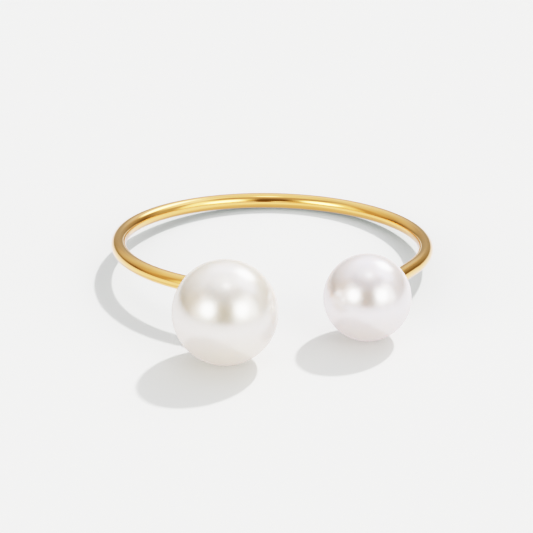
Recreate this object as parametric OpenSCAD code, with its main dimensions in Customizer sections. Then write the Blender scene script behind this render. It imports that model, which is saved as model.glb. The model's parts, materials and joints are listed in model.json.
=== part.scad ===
// Open finger ring: a round wire hoop with a pearl on each end, lying on its side.
// Angles round the hoop start at its right-hand side and pass the back at 90.

/* [Hoop] */
// Inner diameter of the round hoop, which is the finger size
hoop_inner_d = 17.1; // [14:0.1:22]
// Diameter of the round wire
wire_d = 0.9; // [0.85:0.05:1.5]

/* [Large pearl and the wire end that carries it] */
// Diameter of the large pearl
large_pearl_d = 6; // [4.5:0.1:8]
// Angle round the hoop at which the wire turns out to the large pearl
large_bend_angle = 246; // [238:1:252]
// Radius of that bend, to the middle of the wire
large_bend_r = 1.5; // [1.2:0.1:2.2]
// How far the bend turns the wire
large_turn_angle = 64; // [50:1:75]
// Straight neck between the bend and the large pearl
large_neck = 0.14; // [0.1:0.02:1]
// Length of the peg in the large pearl
large_peg_len = 2.8; // [1.5:0.1:3.2]

/* [Small pearl and the wire end that carries it] */
// Diameter of the small pearl
small_pearl_d = 5; // [3.8:0.1:7]
// Angle round the hoop at which the wire leaves the circle and runs on straight
small_run_angle = -25.7; // [-35:0.1:-15]
// Straight stretch between the circle and the small pearl
small_run = 3.8; // [2.5:0.1:5]
// Length of the peg in the small pearl
small_peg_len = 2.3; // [1.2:0.1:2.8]

/* [Pegs and clearances] */
// Diameter of the peg turned on each end of the wire
peg_d = 0.7; // [0.5:0.05:0.7]
// Clearance all round the peg in its drilled hole
bore_gap = 0.03; // [0.02:0.01:0.06]
// Clearance between the tip of the peg and the end of its hole
bore_end_gap = 0.1; // [0.05:0.01:0.3]
// Clearance between the shoulder of the wire and the rim of the hole
seat_gap = 0.02; // [0.01:0.01:0.05]
// Bevel round the shoulder of the wire and round the tip of each peg
edge_bevel = 0.05; // [0.02:0.01:0.06]
// Length of the seam that welds two stretches of the wire where they meet
weld_len = 0.1; // [0.06:0.01:0.16]
// Height of that seam over the wire
weld_height = 0.005; // [0.005:0.001:0.01]

/* [Hidden] */
$fn = 96;

wire_r = wire_d / 2;
hoop_r = hoop_inner_d / 2 + wire_r;
large_r = large_pearl_d / 2;
small_r = small_pearl_d / 2;
peg_r = peg_d / 2;
bore_r = peg_r + bore_gap;

// Unit direction in the plane of the hoop
function heading(angle) = [cos(angle), sin(angle)];

// From the middle of a pearl to the shoulder of the wire, just clear of the hole's rim
function seat(pearl_r) = sqrt(pow(pearl_r, 2) - pow(bore_r, 2)) + seat_gap;

// The bend starts along the circle and turns clockwise, away from the finger
large_heading = large_bend_angle + 90 - large_turn_angle;
bend_start = hoop_r * heading(large_bend_angle);
bend_middle = (hoop_r + large_bend_r) * heading(large_bend_angle);
neck_start = bend_middle + large_bend_r * heading(large_heading + 90);
large_middle = neck_start + (large_neck + seat(large_r)) * heading(large_heading);

// The straight stretch leaves the circle the other way round
small_heading = small_run_angle - 90;
run_start = hoop_r * heading(small_run_angle);
small_middle = run_start + (small_run + seat(small_r)) * heading(small_heading);

// The ring rests on both pearls and on the back of the hoop. The plane of the hoop rises
// by rest_tilt towards rest_heading, which brings all three down to the floor together.
lift_ratio = (large_r - wire_r) / (small_r - wire_r);
lift_arm = large_middle - lift_ratio * small_middle;
rest_heading = atan2(lift_arm[1], lift_arm[0]) + acos((lift_ratio - 1) * hoop_r / norm(lift_arm));
rest_tilt = asin((large_r - wire_r) / (large_middle * heading(rest_heading) + hoop_r));
hoop_height = hoop_r * sin(rest_tilt) + wire_r;

// Where a point in the plane of the hoop lies, seen from above, once the plane is tilted
function from_above(point) =
    point - (point * heading(rest_heading)) * (1 - cos(rest_tilt)) * heading(rest_heading);

// How far the tilted hoop reaches from its middle along X and along Y
function hoop_reach(share) = hoop_r * sqrt(1 - pow(sin(rest_tilt) * share, 2)) + wire_r;
reach_x = hoop_reach(cos(rest_heading));
reach_y = hoop_reach(sin(rest_heading));

// The origin lies on the floor under the middle of the whole ring's box
large_above = from_above(large_middle);
small_above = from_above(small_middle);
right = max(reach_x, large_above[0] + large_r, small_above[0] + small_r);
left = min(-reach_x, large_above[0] - large_r, small_above[0] - small_r);
back = max(reach_y, large_above[1] + large_r, small_above[1] + small_r);
front = min(-reach_y, large_above[1] - large_r, small_above[1] - small_r);
hoop_place = [-(left + right) / 2, -(front + back) / 2, hoop_height];

// Lays what is drawn in the plane of the hoop down on the floor
module at_rest() {
    translate(hoop_place)
        rotate(a = rest_tilt, v = [sin(rest_heading), -cos(rest_heading), 0])
            children();
}

// Points the +Z axis of what is drawn along a heading in the plane of the hoop
module pointing(place, angle) {
    translate([place[0], place[1], 0])
        rotate([0, 0, angle])
            rotate([0, 90, 0])
                children();
}

// Bent stretch of wire about the Z axis, between two angles
module bent_wire(bend_r, from_angle, turn) {
    rotate([0, 0, from_angle])
        rotate_extrude(angle = turn)
            translate([bend_r, 0])
                circle(r = wire_r);
}

// Seam that welds two stretches of the wire, a hair wider than the wire
module weld(place, angle) {
    pointing(place, angle)
        cylinder(h = weld_len, r = wire_r + weld_height, center = true);
}

// Straight stretch of wire along +Z that ends in a bevelled shoulder and a turned peg
module wire_end(straight, peg_len) {
    rotate_extrude()
        polygon([
            [0, 0],
            [wire_r, 0],
            [wire_r, straight - edge_bevel],
            [wire_r - edge_bevel, straight],
            [peg_r, straight],
            [peg_r, straight + peg_len - edge_bevel],
            [peg_r - edge_bevel, straight + peg_len],
            [0, straight + peg_len],
        ]);
}

// Round pearl with a blind hole that opens towards -Z, for a peg of the given length
module drilled_pearl(pearl_r, peg_len) {
    mouth = pearl_r + edge_bevel;
    hole_end = peg_len + bore_end_gap - seat(pearl_r);
    difference() {
        sphere(r = pearl_r);
        translate([0, 0, -mouth])
            cylinder(h = mouth + hole_end, r = bore_r);
    }
}

module hoop() {
    color([0.86, 0.68, 0.35])
        at_rest()
            union() {
                bent_wire(hoop_r, small_run_angle, large_bend_angle - small_run_angle);
                weld(bend_start, large_bend_angle + 90);
                translate([bend_middle[0], bend_middle[1], 0])
                    bent_wire(large_bend_r, large_heading + 90, large_turn_angle);
                weld(neck_start, large_heading);
                pointing(neck_start, large_heading) wire_end(large_neck, large_peg_len);
                weld(run_start, small_heading);
                pointing(run_start, small_heading) wire_end(small_run, small_peg_len);
            }
}

module large_pearl() {
    color([0.93, 0.89, 0.82])
        at_rest()
            pointing(large_middle, large_heading) drilled_pearl(large_r, large_peg_len);
}

module small_pearl() {
    color([0.91, 0.87, 0.86])
        at_rest()
            pointing(small_middle, small_heading) drilled_pearl(small_r, small_peg_len);
}

hoop();
large_pearl();
small_pearl();
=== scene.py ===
"""Looks of an open finger ring: a round gold wire with a drilled pearl on each end.

The ring lies on its side on a pale floor, on both pearls and on the back of the
wire. Lengths are metres and angles are degrees, in the frame of the solids.
"""

import json
import logging
import math
from dataclasses import dataclass, field
from enum import Enum
from typing import Any, Sequence

import bmesh
import bpy
from mathutils import Matrix, Vector


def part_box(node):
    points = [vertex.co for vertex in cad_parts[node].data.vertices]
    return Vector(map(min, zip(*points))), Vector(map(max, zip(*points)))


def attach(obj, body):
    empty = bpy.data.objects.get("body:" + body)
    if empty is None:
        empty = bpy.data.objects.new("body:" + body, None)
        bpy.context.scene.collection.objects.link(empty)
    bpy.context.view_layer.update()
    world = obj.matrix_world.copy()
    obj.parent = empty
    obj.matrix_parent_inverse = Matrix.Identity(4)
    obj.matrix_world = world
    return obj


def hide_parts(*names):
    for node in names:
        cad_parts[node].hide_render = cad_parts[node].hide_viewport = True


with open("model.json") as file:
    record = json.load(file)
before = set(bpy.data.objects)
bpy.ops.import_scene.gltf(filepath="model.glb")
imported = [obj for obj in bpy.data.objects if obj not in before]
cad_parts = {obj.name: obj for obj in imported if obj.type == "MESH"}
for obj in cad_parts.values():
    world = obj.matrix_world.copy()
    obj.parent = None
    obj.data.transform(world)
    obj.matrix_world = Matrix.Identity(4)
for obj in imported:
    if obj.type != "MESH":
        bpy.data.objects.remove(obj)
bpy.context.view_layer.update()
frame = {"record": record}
BODY = "root"
MM = 0.001
LOG = logging.getLogger("ring")

# Attributes of the wire: its radius along the centre line, and the place that its polishing lines follow
WIRE_GIRTH = "girth"
WIRE_LINES = "wire_lines"

# Where a Mix node keeps its two colours and the mixed one
MIX_FIRST = 6
MIX_SECOND = 7
MIX_RESULT = 2

Colour = tuple[float, float, float]
VertRing = list[bmesh.types.BMVert]


def heading(angle: float) -> Vector:
    """Returns the unit direction at an angle in the plane of the hoop, in degrees."""
    return Vector((math.cos(math.radians(angle)), math.sin(math.radians(angle)), 0.0))


def sky_direction(azimuth: float, elevation: float) -> Vector:
    """Works out where in the room something stands.

    Args:
        azimuth: Degrees from +Y, the back of the ring, towards +X.
        elevation: Degrees above the floor.

    Returns:
        The unit direction from the ring to it.
    """
    flat = math.cos(math.radians(elevation))
    return Vector((
        math.sin(math.radians(azimuth)) * flat,
        math.cos(math.radians(azimuth)) * flat,
        math.sin(math.radians(elevation)),
    ))


def rgba(colour: Colour) -> tuple[float, float, float, float]:
    """Returns a linear colour with full alpha."""
    return (*colour, 1.0)


def grey(level: float) -> Colour:
    """Returns a neutral colour."""
    return (level, level, level)


class Bench:
    """Adds and wires the nodes of one node tree."""

    def __init__(self, tree: bpy.types.NodeTree) -> None:
        """Clears the tree and keeps it to work on."""
        self.tree = tree
        tree.nodes.clear()

    def feed(self, socket: bpy.types.NodeSocket, value: Any) -> None:
        """Gives a socket a value, or the output that feeds it.

        Args:
            socket: The input to feed.
            value: The value, or the output of another node.
        """
        if isinstance(value, bpy.types.NodeSocket):
            self.tree.links.new(value, socket)
        else:
            socket.default_value = value

    def add(
        self, kind: str, inputs: dict[Any, Any] | None = None, **settings: Any
    ) -> bpy.types.Node:
        """Adds a node.

        Args:
            kind: Blender's name for the type of node.
            inputs: Socket name or number to a value, or to the socket that feeds it.
            **settings: Attributes to set on the node, such as its operation.

        Returns:
            The new node.
        """
        node = self.tree.nodes.new(kind)
        for name, value in settings.items():
            setattr(node, name, value)
        for name, value in (inputs or {}).items():
            self.feed(node.inputs[name], value)
        return node

    def calculate(self, operation: str, *values: Any) -> bpy.types.NodeSocket:
        """Returns the output of a Math node on one, two or three values or sockets."""
        return self.add("ShaderNodeMath", dict(enumerate(values)), operation=operation).outputs[0]

    def vector(self, operation: str, inputs: dict[Any, Any], output: Any = 0) -> bpy.types.NodeSocket:
        """Returns an output of a Vector Math node."""
        return self.add("ShaderNodeVectorMath", inputs, operation=operation).outputs[output]

    def ramp(
        self, value: Any, low: float, high: float, to_low: float = 0.0, to_high: float = 1.0
    ) -> bpy.types.NodeSocket:
        """Eases a value from one range to another, and holds it beyond the ends.

        Args:
            value: The number or socket to ease.
            low: Where the first range starts.
            high: Where the first range ends.
            to_low: What the start of the range becomes.
            to_high: What the end of the range becomes.

        Returns:
            The eased value.
        """
        node = self.add(
            "ShaderNodeMapRange",
            {"Value": value, "From Min": low, "From Max": high, "To Min": to_low, "To Max": to_high},
            interpolation_type="SMOOTHSTEP",
        )
        return node.outputs["Result"]

    def blend(self, share: Any, first: Any, second: Any) -> bpy.types.NodeSocket:
        """Mixes two colours.

        Args:
            share: How much of the second colour there is, from 0 to 1.
            first: The first colour, a socket.
            second: The second colour, a socket.

        Returns:
            The mixed colour.
        """
        node = self.add(
            "ShaderNodeMix", {0: share, MIX_FIRST: first, MIX_SECOND: second}, data_type="RGBA"
        )
        return node.outputs[MIX_RESULT]


class Relief(Enum):
    """What a fine surface relief follows."""

    ROUND = "alike in all directions, as on nacre"
    ALONG = "drawn out along the wire, as polishing leaves it"


@dataclass(frozen=True)
class ReliefPattern:
    """How fine grain, small pits and the slow drift of a tint are drawn."""

    line_stretch: float = 0.02
    grain_detail: float = 4.0
    grain_roughness: float = 0.6
    drift_detail: float = 2.0
    drift_low: float = 0.32
    drift_high: float = 0.68
    pit_reach: float = 0.16

    def grain_place(self, bench: Bench, relief: Relief) -> bpy.types.NodeSocket:
        """Adds the nodes that say where on the grain each point lies.

        Args:
            bench: The group's tree.
            relief: Whether the grain is alike in all directions or runs along the wire.

        Returns:
            The place to read the grain at.
        """
        if relief is Relief.ROUND:
            return bench.add("ShaderNodeTexCoord").outputs["Object"]
        around = bench.add("ShaderNodeAttribute", attribute_name=WIRE_LINES).outputs["Vector"]
        return bench.vector("MULTIPLY", {0: around, 1: (self.line_stretch, 1.0, 1.0)})

    def build(self, relief: Relief) -> bpy.types.NodeTree:
        """Builds the shared group that gives fine relief and the drift of a tint.

        Args:
            relief: Whether the relief is alike in all directions or runs along the wire.

        Returns:
            A shader node group with the inputs Grain, Drift, Pits, Low and High and the
            outputs Tint, Gloss and Height.
        """
        tree = bpy.data.node_groups.new(f"relief_{relief.name.lower()}", "ShaderNodeTree")
        for name, way, kind in (
            ("Grain", "INPUT", "NodeSocketFloat"),
            ("Drift", "INPUT", "NodeSocketFloat"),
            ("Pits", "INPUT", "NodeSocketFloat"),
            ("Low", "INPUT", "NodeSocketColor"),
            ("High", "INPUT", "NodeSocketColor"),
            ("Tint", "OUTPUT", "NodeSocketColor"),
            ("Gloss", "OUTPUT", "NodeSocketFloat"),
            ("Height", "OUTPUT", "NodeSocketFloat"),
        ):
            tree.interface.new_socket(name, in_out=way, socket_type=kind)
        bench = Bench(tree)
        given = bench.add("NodeGroupInput").outputs
        grain = bench.add(
            "ShaderNodeTexNoise",
            {
                "Vector": self.grain_place(bench, relief),
                "Scale": given["Grain"],
                "Detail": self.grain_detail,
                "Roughness": self.grain_roughness,
            },
        ).outputs["Fac"]
        place = bench.add("ShaderNodeTexCoord").outputs["Object"]
        drift = bench.add(
            "ShaderNodeTexNoise", {"Vector": place, "Scale": given["Drift"], "Detail": self.drift_detail}
        ).outputs["Fac"]
        pits = bench.add(
            "ShaderNodeTexVoronoi", {"Vector": place, "Scale": given["Pits"]}, feature="SMOOTH_F1"
        ).outputs["Distance"]
        pit_height = bench.ramp(pits, 0.0, self.pit_reach, -1.0, 0.0)
        height = bench.calculate("ADD", grain, pit_height)
        share = bench.ramp(drift, self.drift_low, self.drift_high)
        tint = bench.blend(share, given["Low"], given["High"])
        bench.add("NodeGroupOutput", {"Tint": tint, "Gloss": grain, "Height": height})
        return tree


@dataclass(frozen=True, kw_only=True)
class Finish:
    """What the gold and the nacre have in common: a drifting tint, a gloss and a fine relief."""

    name: str
    low: Colour
    high: Colour
    roughness: float
    roughness_spread: float = 0.02
    relief_depth: float
    grain_scale: float
    drift_scale: float
    pit_scale: float = 1500.0
    gloss_low: float = 0.3
    gloss_high: float = 0.7

    def shader_values(self) -> dict[str, Any]:
        """Returns the values that are the same all over the surface, by socket."""
        raise NotImplementedError

    def build(self, group: bpy.types.NodeTree) -> bpy.types.Material:
        """Makes the material.

        Args:
            group: The relief group that suits the surface.

        Returns:
            The material, ready to assign.
        """
        material = bpy.data.materials.new(self.name)
        material.use_nodes = True
        bench = Bench(material.node_tree)
        relief = bench.add(
            "ShaderNodeGroup",
            {
                "Grain": self.grain_scale,
                "Drift": self.drift_scale,
                "Pits": self.pit_scale,
                "Low": rgba(self.low),
                "High": rgba(self.high),
            },
            node_tree=group,
        ).outputs
        smooth, rough = self.roughness - self.roughness_spread, self.roughness + self.roughness_spread
        gloss = bench.ramp(relief["Gloss"], self.gloss_low, self.gloss_high, smooth, rough)
        bump = bench.add(
            "ShaderNodeBump", {"Height": relief["Height"], "Distance": self.relief_depth, "Strength": 1.0}
        )
        varying = {"Base Color": relief["Tint"], "Roughness": gloss, "Normal": bump.outputs["Normal"]}
        shader = bench.add("ShaderNodeBsdfPrincipled", {**varying, **self.shader_values()})
        bench.add("ShaderNodeOutputMaterial", {"Surface": shader.outputs["BSDF"]})
        return material


@dataclass(frozen=True, kw_only=True)
class GoldFinish(Finish):
    """Polished yellow gold plate on the wire, under a thin clear lacquer."""

    name: str = "gold"
    low: Colour = (0.99, 0.577, 0.19)
    high: Colour = (1.0, 0.602, 0.212)
    roughness: float = 0.10
    relief_depth: float = 0.0002 * MM
    grain_scale: float = 9000.0
    drift_scale: float = 350.0
    edge: Colour = (1.0, 1.0, 1.0)
    lacquer: float = 0.8
    lacquer_ior: float = 1.6
    lacquer_roughness: float = 0.06

    def shader_values(self) -> dict[str, Any]:
        """Lists what is the same all over the gold.

        Returns:
            The values of the metal and of its lacquer, by socket.
        """
        return {
            "Metallic": 1.0,
            "Specular Tint": rgba(self.edge),
            "Coat Weight": self.lacquer,
            "Coat IOR": self.lacquer_ior,
            "Coat Roughness": self.lacquer_roughness,
        }


@dataclass(frozen=True, kw_only=True)
class PearlFinish(Finish):
    """Lustrous nacre: a soft body colour under a cool, slightly blurred sheen."""

    sheen_tint: Colour
    roughness: float = 0.25
    relief_depth: float = 0.00015 * MM
    grain_scale: float = 6000.0
    drift_scale: float = 330.0
    nacre_ior: float = 3.1
    sheen_level: float = 1.0
    glow_share: float = 0.5
    glow_depth: Colour = (1.6 * MM, 1.4 * MM, 1.2 * MM)

    def shader_values(self) -> dict[str, Any]:
        """Lists what is the same all over the nacre.

        Returns:
            The values of the sheen and of the glow below it, by socket.
        """
        return {
            "IOR": self.nacre_ior,
            "Specular IOR Level": self.sheen_level,
            "Specular Tint": rgba(self.sheen_tint),
            "Subsurface Weight": self.glow_share,
            "Subsurface Radius": self.glow_depth,
            "Subsurface Scale": 1.0,
        }


@dataclass(frozen=True)
class Stop:
    """One section of the wire: its place on the centre line and its radius there."""

    place: Vector
    radius: float


@dataclass
class RingPlan:
    """Where everything lies, worked out in the plane of the hoop from the ring's own sizes.

    The dressed wire is thinner than its solid by polish_off all round, so that it stays inside.
    """

    hoop_inner_d: float = 17.1 * MM
    wire_d: float = 0.9 * MM
    large_bend_angle: float = 246.0
    large_bend_r: float = 1.5 * MM
    large_turn_angle: float = 64.0
    large_neck: float = 0.14 * MM
    large_peg: float = 2.8 * MM
    small_run_angle: float = -25.7
    small_run: float = 3.8 * MM
    small_peg: float = 2.3 * MM
    peg_d: float = 0.7 * MM
    bore_gap: float = 0.03 * MM
    bore_end_gap: float = 0.1 * MM
    seat_gap: float = 0.02 * MM
    edge_bevel: float = 0.05 * MM
    polish_off: float = 0.002 * MM
    finger: dict[str, Any] = field(default_factory=lambda: dict(frame["record"]["mounts"][0]))

    def __post_init__(self) -> None:
        """Works out what follows from the sizes."""
        self.wire_r = self.wire_d / 2 - self.polish_off
        self.hoop_r = (self.hoop_inner_d + self.wire_d) / 2
        self.peg_r = self.peg_d / 2
        self.bore_r = self.peg_r + self.bore_gap
        self.large_heading = self.large_bend_angle + 90.0 - self.large_turn_angle
        self.small_heading = self.small_run_angle - 90.0
        self.bend_middle = (self.hoop_r + self.large_bend_r) * heading(self.large_bend_angle)
        self.neck_start = self.bend_middle + self.large_bend_r * heading(self.large_heading + 90.0)
        self.run_start = self.hoop_r * heading(self.small_run_angle)

    def seat(self, pearl_d: float) -> float:
        """Returns the distance from a pearl's middle to the wire's shoulder."""
        return math.sqrt((pearl_d / 2) ** 2 - self.bore_r**2) + self.seat_gap

    def at_rest(self) -> Matrix:
        """Works out how the plane of the hoop is laid down on the floor.

        Returns:
            The turn and shift from the plane of the hoop to the frame of the solids.
        """
        normal = Vector(self.finger["axis"]).normalized()
        turn = Vector((0.0, 0.0, 1.0)).rotation_difference(normal).to_matrix().to_4x4()
        return Matrix.Translation(Vector(self.finger["pos_m"])) @ turn


@dataclass
class Hoop:
    """The gold wire with a peg turned on each end."""

    plan: RingPlan
    arc_steps: int = 420
    bend_steps: int = 60
    run_steps: int = 60
    neck_steps: int = 0
    sides: int = 96
    shoulder_step: float = 0.0005 * MM
    support: float = 0.02 * MM
    sharp_angle: float = 30.0
    name: str = "gold_wire"
    node: str = "hoop"
    slot: str = "gold"

    def end_stops(
        self, start: Vector, angle: float, straight: float, peg: float, steps: int
    ) -> list[Stop]:
        """Lists the sections of one straight end, from the joint out to the peg's tip.

        Args:
            start: Where the straight stretch starts, in the plane of the hoop.
            angle: The heading of the stretch.
            straight: Its length up to the shoulder.
            peg: The length of the peg.
            steps: How many sections the straight stretch has.

        Returns:
            The sections in order.
        """
        plan = self.plan
        full, thin, bevel = plan.wire_r, plan.peg_r, plan.edge_bevel
        marks = [(straight * (i + 1) / (steps + 1), full) for i in range(steps)]
        marks = [m for m in marks if m[0] < straight - bevel - 2 * self.support]
        marks += [
            (straight - bevel - self.support, full),
            (straight - bevel, full),
            (straight, full - bevel),
            (straight + self.shoulder_step, thin),
            (straight + self.support, thin),
            (straight + peg - bevel, thin),
            (straight + peg, thin - bevel),
        ]
        along = heading(angle)
        return [Stop(start + along * reach, radius) for reach, radius in marks]

    def stops(self) -> list[Stop]:
        """Lists the sections of the whole wire.

        Returns:
            The sections from the tip of the small pearl's peg to the tip of the large pearl's.
        """
        plan = self.plan
        out = self.end_stops(
            plan.run_start, plan.small_heading, plan.small_run, plan.small_peg, self.run_steps
        )
        out.reverse()
        sweep = plan.large_bend_angle - plan.small_run_angle
        for i in range(self.arc_steps + 1):
            angle = plan.small_run_angle + sweep * i / self.arc_steps
            out.append(Stop(plan.hoop_r * heading(angle), plan.wire_r))
        first = plan.large_bend_angle + 180.0
        for i in range(1, self.bend_steps + 1):
            angle = first - plan.large_turn_angle * i / self.bend_steps
            out.append(Stop(plan.bend_middle + plan.large_bend_r * heading(angle), plan.wire_r))
        out += self.end_stops(
            plan.neck_start, plan.large_heading, plan.large_neck, plan.large_peg, self.neck_steps
        )
        return out

    def centre_line(self) -> bpy.types.Object:
        """Makes the bare centre line.

        Returns:
            A chain of edges with the wire's radius at each point.
        """
        stops = self.stops()
        place = self.plan.at_rest()
        mesh = bpy.data.meshes.new("centre_line")
        points = [place @ s.place for s in stops]
        mesh.from_pydata(points, [(i, i + 1) for i in range(len(points) - 1)], [])
        radius = mesh.attributes.new(WIRE_GIRTH, "FLOAT", "POINT")
        for i, stop in enumerate(stops):
            radius.data[i].value = stop.radius
        line = bpy.data.objects.new("centre_line", mesh)
        bpy.context.scene.collection.objects.link(line)
        return line

    def capture(
        self, bench: Bench, geometry: bpy.types.NodeSocket, kind: str, name: str, value: bpy.types.NodeSocket
    ) -> bpy.types.Node:
        """Adds a node that keeps a value for each point of a curve.

        Args:
            bench: The tree that sweeps the wire.
            geometry: The curve.
            kind: The type of the value.
            name: The name of the kept value.
            value: What is kept.

        Returns:
            The node, with the outputs Geometry and the name of the kept value.
        """
        kept = bench.add("GeometryNodeCaptureAttribute", domain="POINT")
        kept.capture_items.new(kind, name)
        bench.feed(kept.inputs["Geometry"], geometry)
        bench.feed(kept.inputs[name], value)
        return kept

    def sweep_tree(self) -> bpy.types.NodeTree:
        """Builds the tree that sweeps a round section along the centre line.

        Returns:
            A geometry node group with the inputs Geometry, Wire Radius, Sides, Sharp Angle
            and Finish.
        """
        tree = bpy.data.node_groups.new("sweep_wire", "GeometryNodeTree")
        for name, way, kind in (
            ("Geometry", "INPUT", "NodeSocketGeometry"),
            ("Wire Radius", "INPUT", "NodeSocketFloat"),
            ("Sides", "INPUT", "NodeSocketInt"),
            ("Sharp Angle", "INPUT", "NodeSocketFloat"),
            ("Finish", "INPUT", "NodeSocketMaterial"),
            ("Geometry", "OUTPUT", "NodeSocketGeometry"),
        ):
            tree.interface.new_socket(name, in_out=way, socket_type=kind)
        bench = Bench(tree)
        given = bench.add("NodeGroupInput").outputs
        girth = bench.add("GeometryNodeInputNamedAttribute", {"Name": WIRE_GIRTH}, data_type="FLOAT")
        line = bench.add("GeometryNodeMeshToCurve", {"Mesh": given["Geometry"]}).outputs["Curve"]
        length = bench.add("GeometryNodeSplineParameter").outputs["Length"]
        along = self.capture(bench, line, "FLOAT", "Along", length).outputs
        section = bench.add("GeometryNodeCurvePrimitiveCircle", {"Resolution": given["Sides"], "Radius": 1.0})
        position = bench.add("GeometryNodeInputPosition").outputs["Position"]
        around = self.capture(bench, section.outputs["Curve"], "VECTOR", "Around", position).outputs
        swept = bench.add(
            "GeometryNodeCurveToMesh",
            {
                "Curve": along["Geometry"],
                "Profile Curve": around["Geometry"],
                "Scale": girth.outputs["Attribute"],
                "Fill Caps": True,
            },
        )
        split = bench.add("ShaderNodeSeparateXYZ", {0: around["Around"]}).outputs
        lines = bench.add(
            "ShaderNodeCombineXYZ",
            {
                "X": along["Along"],
                "Y": bench.calculate("MULTIPLY", split["X"], given["Wire Radius"]),
                "Z": bench.calculate("MULTIPLY", split["Y"], given["Wire Radius"]),
            },
        )
        stored = bench.add(
            "GeometryNodeStoreNamedAttribute",
            {"Geometry": swept.outputs["Mesh"], "Name": WIRE_LINES, "Value": lines.outputs["Vector"]},
            data_type="FLOAT_VECTOR",
            domain="POINT",
        )
        smooth = bench.add(
            "GeometryNodeSetShadeSmooth", {"Geometry": stored.outputs["Geometry"], "Shade Smooth": True}
        )
        angle = bench.add("GeometryNodeInputMeshEdgeAngle")
        sharp = bench.add(
            "FunctionNodeCompare",
            {"A": angle.outputs["Unsigned Angle"], "B": given["Sharp Angle"]},
            data_type="FLOAT",
            operation="GREATER_THAN",
        )
        crisp = bench.add(
            "GeometryNodeSetShadeSmooth",
            {
                "Geometry": smooth.outputs["Geometry"],
                "Selection": sharp.outputs["Result"],
                "Shade Smooth": False,
            },
            domain="EDGE",
        )
        real = bench.add("GeometryNodeRealizeInstances", {"Geometry": crisp.outputs["Geometry"]})
        dressed = bench.add(
            "GeometryNodeSetMaterial", {"Geometry": real.outputs["Geometry"], "Material": given["Finish"]}
        )
        bench.add("NodeGroupOutput", {"Geometry": dressed.outputs["Geometry"]})
        return tree

    def build(self, finish: bpy.types.Material) -> bpy.types.Object:
        """Sweeps the wire and makes it a plain mesh.

        Args:
            finish: The gold material.

        Returns:
            The finished piece, which stands for the solid hoop.
        """
        line = self.centre_line()
        tree = self.sweep_tree()
        modifier = line.modifiers.new("sweep", "NODES")
        modifier.node_group = tree
        values = {
            "Wire Radius": self.plan.wire_r,
            "Sides": self.sides,
            "Sharp Angle": math.radians(self.sharp_angle),
            "Finish": finish,
        }
        for item in tree.interface.items_tree:
            if item.in_out == "INPUT" and item.name in values:
                modifier[item.identifier] = values[item.name]
        piece = freeze(line, self.name)
        return stand_for(piece, self.node)


def freeze(source: bpy.types.Object, name: str) -> bpy.types.Object:
    """Turns an object with live modifiers into a plain mesh and deletes the source.

    Args:
        source: The object whose evaluated shape is wanted.
        name: The name of the new piece.

    Returns:
        The plain piece at the origin.
    """
    seen = source.evaluated_get(bpy.context.evaluated_depsgraph_get())
    mesh = bpy.data.meshes.new_from_object(seen)
    mesh.name = name
    piece = bpy.data.objects.new(name, mesh)
    bpy.context.scene.collection.objects.link(piece)
    source.modifiers.clear()
    bpy.data.objects.remove(source)
    return piece


def stand_for(piece: bpy.types.Object, node: str) -> bpy.types.Object:
    """Lets a piece ride on the ring's body in place of a solid.

    Args:
        piece: The finished piece.
        node: The solid that it stands for.

    Returns:
        The same piece.
    """
    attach(piece, BODY)
    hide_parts(node)
    LOG.info("%s stands for %s, %d faces", piece.name, node, len(piece.data.polygons))
    return piece


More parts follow.
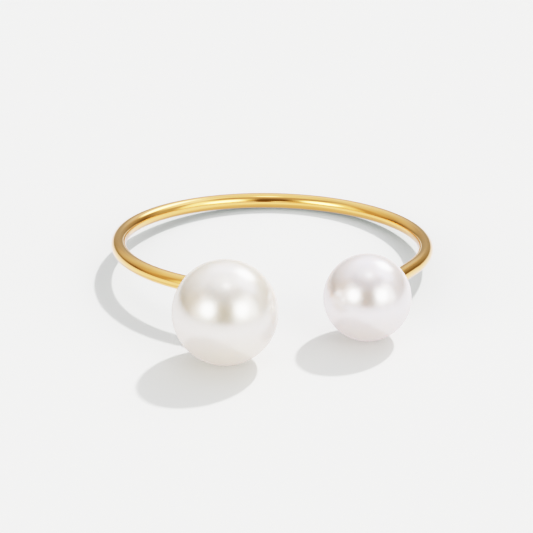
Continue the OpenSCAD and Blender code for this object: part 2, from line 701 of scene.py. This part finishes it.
@dataclass
class Pearl:
    """A round pearl, drilled halfway from the side of the wire's shoulder."""

    plan: RingPlan
    node: str
    slot: str
    name: str
    angle: float
    peg: float
    around_steps: int = 256
    along_steps: int = 150
    bore_steps: int = 10
    rim_bevel: float = 0.02 * MM
    sharp_angle: float = 50.0

    def outline(self, radius: float) -> list[tuple[float, float]]:
        """Lists the half outline, from the pole opposite the hole round into the hole.

        Args:
            radius: The radius of the pearl.

        Returns:
            Pairs of distance from the axis and place along it, towards the hole.
        """
        bore = self.plan.bore_r
        rim = math.asin((bore + self.rim_bevel) / radius)
        turns = [(math.pi - rim) * i / self.along_steps for i in range(1, self.along_steps + 1)]
        ball = [(radius * math.sin(turn), -radius * math.cos(turn)) for turn in turns]
        mouth = math.sqrt(radius**2 - (bore + self.rim_bevel) ** 2)
        floor = self.plan.seat(2 * radius) - self.peg - self.plan.bore_end_gap
        top = mouth - self.rim_bevel
        wall = [(bore, top + (floor - top) * i / self.bore_steps) for i in range(self.bore_steps + 1)]
        return [(0.0, -radius), *ball, *wall, (0.0, floor)]

    def build(self, finish: bpy.types.Material) -> bpy.types.Object:
        """Turns the outline about the hole's axis and puts the pearl in its place.

        Args:
            finish: The nacre of this pearl.

        Returns:
            The finished piece, which stands for the solid pearl.
        """
        low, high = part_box(self.node)
        middle = (low + high) / 2
        radius = min(high - low) / 2
        turns = [2 * math.pi * i / self.around_steps for i in range(self.around_steps)]
        shell = bmesh.new()
        rings: list[VertRing] = []
        for reach, along in self.outline(radius):
            if reach == 0.0:
                rings.append([shell.verts.new((0.0, 0.0, along))])
                continue
            rings.append([
                shell.verts.new((reach * math.cos(turn), reach * math.sin(turn), along)) for turn in turns
            ])
        for first, second in zip(rings, rings[1:]):
            self.bridge(shell, first, second)
        towards_hole = self.plan.at_rest().to_3x3() @ (-heading(self.angle))
        turn = Vector((0.0, 0.0, 1.0)).rotation_difference(towards_hole).to_matrix().to_4x4()
        shell.transform(Matrix.Translation(middle) @ turn)
        bmesh.ops.recalc_face_normals(shell, faces=shell.faces)
        mesh = bpy.data.meshes.new(self.name)
        shell.to_mesh(mesh)
        shell.free()
        mesh.shade_smooth()
        mesh.set_sharp_from_angle(angle=math.radians(self.sharp_angle))
        mesh.materials.append(finish)
        piece = bpy.data.objects.new(self.name, mesh)
        bpy.context.scene.collection.objects.link(piece)
        return stand_for(piece, self.node)

    def bridge(self, shell: bmesh.types.BMesh, first: VertRing, second: VertRing) -> None:
        """Joins two neighbouring rings, either of which may be a single pole.

        Args:
            shell: The mesh that is being built.
            first: The ring nearer the far pole.
            second: The ring nearer the hole.
        """
        count = max(len(first), len(second))
        for i in range(count):
            j = (i + 1) % count
            if len(first) == 1:
                shell.faces.new((first[0], second[j], second[i]))
            elif len(second) == 1:
                shell.faces.new((first[i], first[j], second[0]))
            else:
                shell.faces.new((first[i], first[j], second[j], second[i]))


@dataclass(frozen=True)
class ToneCurve:
    """How light becomes tone in the picture: a soft toe, and a soft shoulder up to white.

    The curve mapping has one curve for each colour, and at all_colours one for the three together.
    """

    toe: float = 1.574
    body: float = 1.009
    knee: float = 0.892
    knee_sharpness: float = 3.0
    white: float = 6.0
    points: int = 24
    crowding: float = 1.8
    all_colours: int = 3

    def tone(self, light: float) -> float:
        """Works out how bright an amount of light is drawn.

        Args:
            light: The amount of light, from 0 up.

        Returns:
            The tone, from 0 to 1.
        """
        bend = (self.toe - self.body) / self.knee_sharpness
        eased = (1.0 + (light / self.knee) ** self.knee_sharpness) ** bend
        return 1.0 - math.exp(-(light**self.toe) / eased)

    def apply(self, view: bpy.types.ColorManagedViewSettings) -> None:
        """Sets the curve on the scene's view settings.

        Args:
            view: The view settings to change.
        """
        view.view_transform = "Standard"
        view.look = "None"
        view.use_curve_mapping = True
        mapping = view.curve_mapping
        mapping.white_level = grey(self.white)
        curve = mapping.curves[self.all_colours]
        for i in range(1, self.points):
            share = (i / self.points) ** self.crowding
            curve.points.new(share, self.tone(share * self.white))
        curve.points[0].location = (0.0, 0.0)
        curve.points[len(curve.points) - 1].location = (1.0, self.tone(self.white))
        mapping.update()


@dataclass(frozen=True)
class Lamp:
    """A soft round source of light, far off, as the ring sees it."""

    azimuth: float
    elevation: float
    spread: float
    softness: float
    radiance: Colour

    def share(self, bench: Bench, ray: bpy.types.NodeSocket) -> bpy.types.NodeSocket:
        """Adds the nodes that say how much of the lamp each ray sees.

        Args:
            bench: The world's tree.
            ray: The direction of the ray, away from the ring.

        Returns:
            The share, from 0 to 1.
        """
        towards = sky_direction(self.azimuth, self.elevation)
        near = bench.vector("DOT_PRODUCT", {0: ray, 1: towards}, "Value")
        outer = math.cos(math.radians(self.spread + self.softness))
        inner = math.cos(math.radians(max(0.0, self.spread - self.softness)))
        return bench.ramp(near, outer, inner)


@dataclass(frozen=True)
class Panel:
    """An upright soft box that stands on the floor, far off, as the ring sees it."""

    azimuth: float
    half_width: float
    radiance: Colour
    side_softness: float = 11.0
    top: float = 48.0
    top_softness: float = 10.0

    def share(self, bench: Bench, ray: bpy.types.NodeSocket) -> bpy.types.NodeSocket:
        """Adds the nodes that say how much of the soft box each ray sees.

        Args:
            bench: The world's tree.
            ray: The direction of the ray, away from the ring.

        Returns:
            The share, from 0 to 1.
        """
        flat = bench.vector("MULTIPLY", {0: ray, 1: (1.0, 1.0, 0.0)})
        level = bench.vector("NORMALIZE", {0: flat})
        near = bench.vector("DOT_PRODUCT", {0: level, 1: sky_direction(self.azimuth, 0.0)}, "Value")
        outer = math.cos(math.radians(self.half_width + self.side_softness))
        inner = math.cos(math.radians(self.half_width - self.side_softness))
        height = bench.add("ShaderNodeSeparateXYZ", {0: ray}).outputs["Z"]
        low = math.sin(math.radians(self.top - self.top_softness))
        high = math.sin(math.radians(self.top + self.top_softness))
        across = bench.ramp(near, outer, inner)
        below_top = bench.ramp(height, low, high, 1.0, 0.0)
        return bench.calculate("MULTIPLY", across, below_top)


@dataclass(frozen=True)
class GlowStop:
    """How the floor glows in mirrored light at one steepness: 1 straight down, 0 along the floor."""

    steepness: float
    colour: Colour


@dataclass
class Studio:
    """The floor, the room's light and the camera.

    The floor has one look for the camera and another for the light that it sends to the ring.
    """

    floor_half: float = 3.0
    floor_paint: Colour = (0.62, 0.614, 0.604)
    floor_glow: Colour = (0.312, 0.354, 0.345)
    wall: Colour = grey(2.33)
    mirrored_paint: Colour = grey(0.35)
    mirrored_glow: Sequence[GlowStop] = (
        GlowStop(steepness=1.0, colour=(0.94, 0.85, 0.73)),
        GlowStop(steepness=0.7, colour=(0.99, 0.9, 0.89)),
        GlowStop(steepness=0.4, colour=(1.17, 1.135, 1.23)),
        GlowStop(steepness=0.15, colour=(0.9, 0.885, 0.96)),
        GlowStop(steepness=0.0, colour=(0.156, 0.145, 0.131)),
    )
    glow_scale: float = 2.0
    facing_blend: float = 0.5
    key_azimuth: float = 33.7
    key_elevation: float = 46.8
    key_strength: float = 5.92
    key_width: float = 3.0
    room: Colour = (0.32, 0.25, 0.1)
    lamps: Sequence[Lamp | Panel] = (
        # Two upright soft boxes in front of the ring, left and right, each with a bright middle
        Panel(azimuth=-134.0, half_width=26.0, radiance=grey(1.38)),
        Lamp(azimuth=-138.0, elevation=24.0, spread=11.0, softness=9.0, radiance=grey(5.4)),
        Panel(azimuth=131.0, half_width=27.0, radiance=grey(2.25)),
        Lamp(azimuth=138.0, elevation=24.0, spread=11.0, softness=9.0, radiance=grey(4.4)),
        # A small lamp overhead, and two beside the key light, behind the ring on the right
        Lamp(azimuth=147.0, elevation=83.7, spread=5.0, softness=3.0, radiance=grey(3.0)),
        Lamp(azimuth=36.0, elevation=39.0, spread=9.0, softness=8.0, radiance=grey(4.8)),
        Lamp(azimuth=68.0, elevation=50.0, spread=16.0, softness=9.0, radiance=(1.1, 1.118, 1.332)),
        # The ceiling, bright in its middle
        Lamp(azimuth=0.0, elevation=90.0, spread=20.5, softness=9.0, radiance=(0.66, 0.65, 0.67)),
        Lamp(azimuth=0.0, elevation=90.0, spread=44.2, softness=15.8, radiance=(0.475, 0.52, 0.69)),
        # The bright room behind the ring
        Lamp(azimuth=6.0, elevation=40.0, spread=20.0, softness=10.0, radiance=(0.757, 0.776, 1.012)),
        Lamp(azimuth=0.0, elevation=47.0, spread=45.0, softness=25.0, radiance=(0.56, 0.59, 0.66)),
        # Fill light from the back left, the left and the right
        Lamp(azimuth=-50.0, elevation=35.0, spread=24.0, softness=14.0, radiance=(0.48, 0.47, 0.53)),
        Lamp(azimuth=-98.0, elevation=25.0, spread=22.0, softness=14.0, radiance=(0.69, 0.58, 0.53)),
        Lamp(azimuth=92.0, elevation=22.0, spread=22.0, softness=14.0, radiance=(0.65, 0.67, 0.75)),
    )
    camera_distance: float = 0.27
    camera_elevation: float = 24.36
    aim: tuple[float, float, float] = (-0.329 * MM, 3.356 * MM, 0.0)
    pixels_per_mm: float = 17.0012
    frame_pixels: int = 533
    sensor: float = 36.0
    near_clip: float = 0.01
    far_clip: float = 20.0
    tones: ToneCurve = ToneCurve()

    def floor_material(self) -> bpy.types.Material:
        """Makes the floor's material.

        Returns:
            The material, with the look for the camera and the look for mirrored light.
        """
        material = bpy.data.materials.new("floor")
        material.use_nodes = True
        bench = Bench(material.node_tree)
        # At this blend Facing is 1 less the steepness, as the places of the stops below expect
        facing = bench.add("ShaderNodeLayerWeight", {"Blend": self.facing_blend}).outputs["Facing"]
        ramp = bench.add("ShaderNodeValToRGB", {"Fac": facing})
        stops = ramp.color_ramp.elements
        while len(stops) < len(self.mirrored_glow):
            stops.new(1.0)
        for stop, glow in zip(stops, self.mirrored_glow):
            stop.position = 1.0 - glow.steepness
            stop.color = rgba(tuple(value / self.glow_scale for value in glow.colour))
        looks = []
        for paint_colour, glow_colour, strength in (
            (self.mirrored_paint, ramp.outputs["Color"], self.glow_scale),
            (self.floor_paint, rgba(self.floor_glow), 1.0),
        ):
            paint = bench.add("ShaderNodeBsdfDiffuse", {"Color": rgba(paint_colour)}).outputs["BSDF"]
            glow = bench.add("ShaderNodeEmission", {"Color": glow_colour, "Strength": strength})
            both = bench.add("ShaderNodeAddShader", {0: paint, 1: glow.outputs["Emission"]})
            looks.append(both.outputs["Shader"])
        seen = bench.add("ShaderNodeLightPath").outputs["Is Camera Ray"]
        look = bench.add("ShaderNodeMixShader", {0: seen, 1: looks[0], 2: looks[1]})
        bench.add("ShaderNodeOutputMaterial", {"Surface": look.outputs["Shader"]})
        return material

    def build_floor(self) -> bpy.types.Object:
        """Lays the pale floor that the ring lies on.

        Returns:
            The floor, which belongs to the stage.
        """
        mesh = bpy.data.meshes.new("floor")
        half = self.floor_half
        corners = [(-half, -half, 0.0), (half, -half, 0.0), (half, half, 0.0), (-half, half, 0.0)]
        mesh.from_pydata(corners, [], [(0, 1, 2, 3)])
        mesh.materials.append(self.floor_material())
        floor = bpy.data.objects.new("floor", mesh)
        bpy.context.scene.collection.objects.link(floor)
        return floor

    def build_key(self) -> bpy.types.Object:
        """Hangs the key light, behind and to the right of the ring.

        Returns:
            The light, which the ring doesn't mirror.
        """
        light = bpy.data.lights.new("key", "SUN")
        light.energy = self.key_strength
        light.angle = math.radians(self.key_width)
        lamp = bpy.data.objects.new("key", light)
        bpy.context.scene.collection.objects.link(lamp)
        towards = sky_direction(self.key_azimuth, self.key_elevation)
        lamp.rotation_euler = towards.to_track_quat("Z", "Y").to_euler()
        lamp.location = towards
        lamp.visible_glossy = False
        return lamp

    def build_room(self) -> bpy.types.World:
        """Paints the light that the room sends, and the plain wall that the camera sees.

        Returns:
            The world, with its soft lamps.
        """
        world = bpy.data.worlds.new("room")
        world.use_nodes = True
        bench = Bench(world.node_tree)
        ray = bench.add("ShaderNodeTexCoord").outputs["Generated"]
        colour = bench.add("ShaderNodeRGB").outputs[0]
        colour.default_value = rgba(self.room)
        for lamp in self.lamps:
            scaled = bench.vector("SCALE", {0: lamp.radiance, "Scale": lamp.share(bench, ray)})
            colour = bench.vector("ADD", {0: colour, 1: scaled})
        light = bench.add("ShaderNodeBackground", {"Color": colour, "Strength": 1.0})
        wall = bench.add("ShaderNodeBackground", {"Color": rgba(self.wall), "Strength": 1.0})
        seen = bench.add("ShaderNodeLightPath").outputs["Is Camera Ray"]
        both = bench.add("ShaderNodeMixShader", {0: seen, 1: light.outputs[0], 2: wall.outputs[0]})
        bench.add("ShaderNodeOutputWorld", {"Surface": both.outputs["Shader"]})
        bpy.context.scene.world = world
        return world

    def build_camera(self) -> bpy.types.Object:
        """Sets up the camera at the photograph's angle.

        Returns:
            The camera of the scene.
        """
        data = bpy.data.cameras.new("camera")
        data.sensor_width = self.sensor
        focal_pixels = self.pixels_per_mm / MM * self.camera_distance
        data.lens = focal_pixels * self.sensor / self.frame_pixels
        data.clip_start = self.near_clip
        data.clip_end = self.far_clip
        camera = bpy.data.objects.new("camera", data)
        bpy.context.scene.collection.objects.link(camera)
        back = sky_direction(180.0, self.camera_elevation)
        camera.location = Vector(self.aim) + back * self.camera_distance
        camera.rotation_euler = back.to_track_quat("Z", "Y").to_euler()
        bpy.context.scene.camera = camera
        return camera

    def build(self) -> None:
        """Builds the floor, the lights and the camera, and sets how light becomes colour."""
        self.build_floor()
        self.build_key()
        self.build_room()
        self.build_camera()
        self.tones.apply(bpy.context.scene.view_settings)
        # Light that the polished gold would throw on the floor is left out
        bpy.context.scene.cycles.caustics_reflective = False


def main() -> None:
    """Builds the studio, then the wire and the pearls, and dresses them."""
    logging.basicConfig(level=logging.INFO, format="%(name)s: %(message)s")
    Studio().build()
    plan = RingPlan()
    round_relief = ReliefPattern().build(Relief.ROUND)
    along_relief = ReliefPattern().build(Relief.ALONG)
    Hoop(plan).build(GoldFinish().build(along_relief))
    cream = PearlFinish(
        name="cream_pearl",
        low=(0.789, 0.726, 0.651),
        high=(0.808, 0.745, 0.669),
        sheen_tint=(0.975, 0.995, 0.985),
    )
    rose = PearlFinish(
        name="rose_pearl",
        low=(0.784, 0.709, 0.704),
        high=(0.803, 0.728, 0.723),
        sheen_tint=(0.965, 0.985, 1.0),
        nacre_ior=3.2,
    )
    large = Pearl(
        plan,
        node="large_pearl",
        slot="cream_pearl",
        name="large_pearl_nacre",
        angle=plan.large_heading,
        peg=plan.large_peg,
    )
    small = Pearl(
        plan,
        node="small_pearl",
        slot="rose_pearl",
        name="small_pearl_nacre",
        angle=plan.small_heading,
        peg=plan.small_peg,
    )
    large.build(cream.build(round_relief))
    small.build(rose.build(round_relief))


if __name__ == "__main__":
    main()
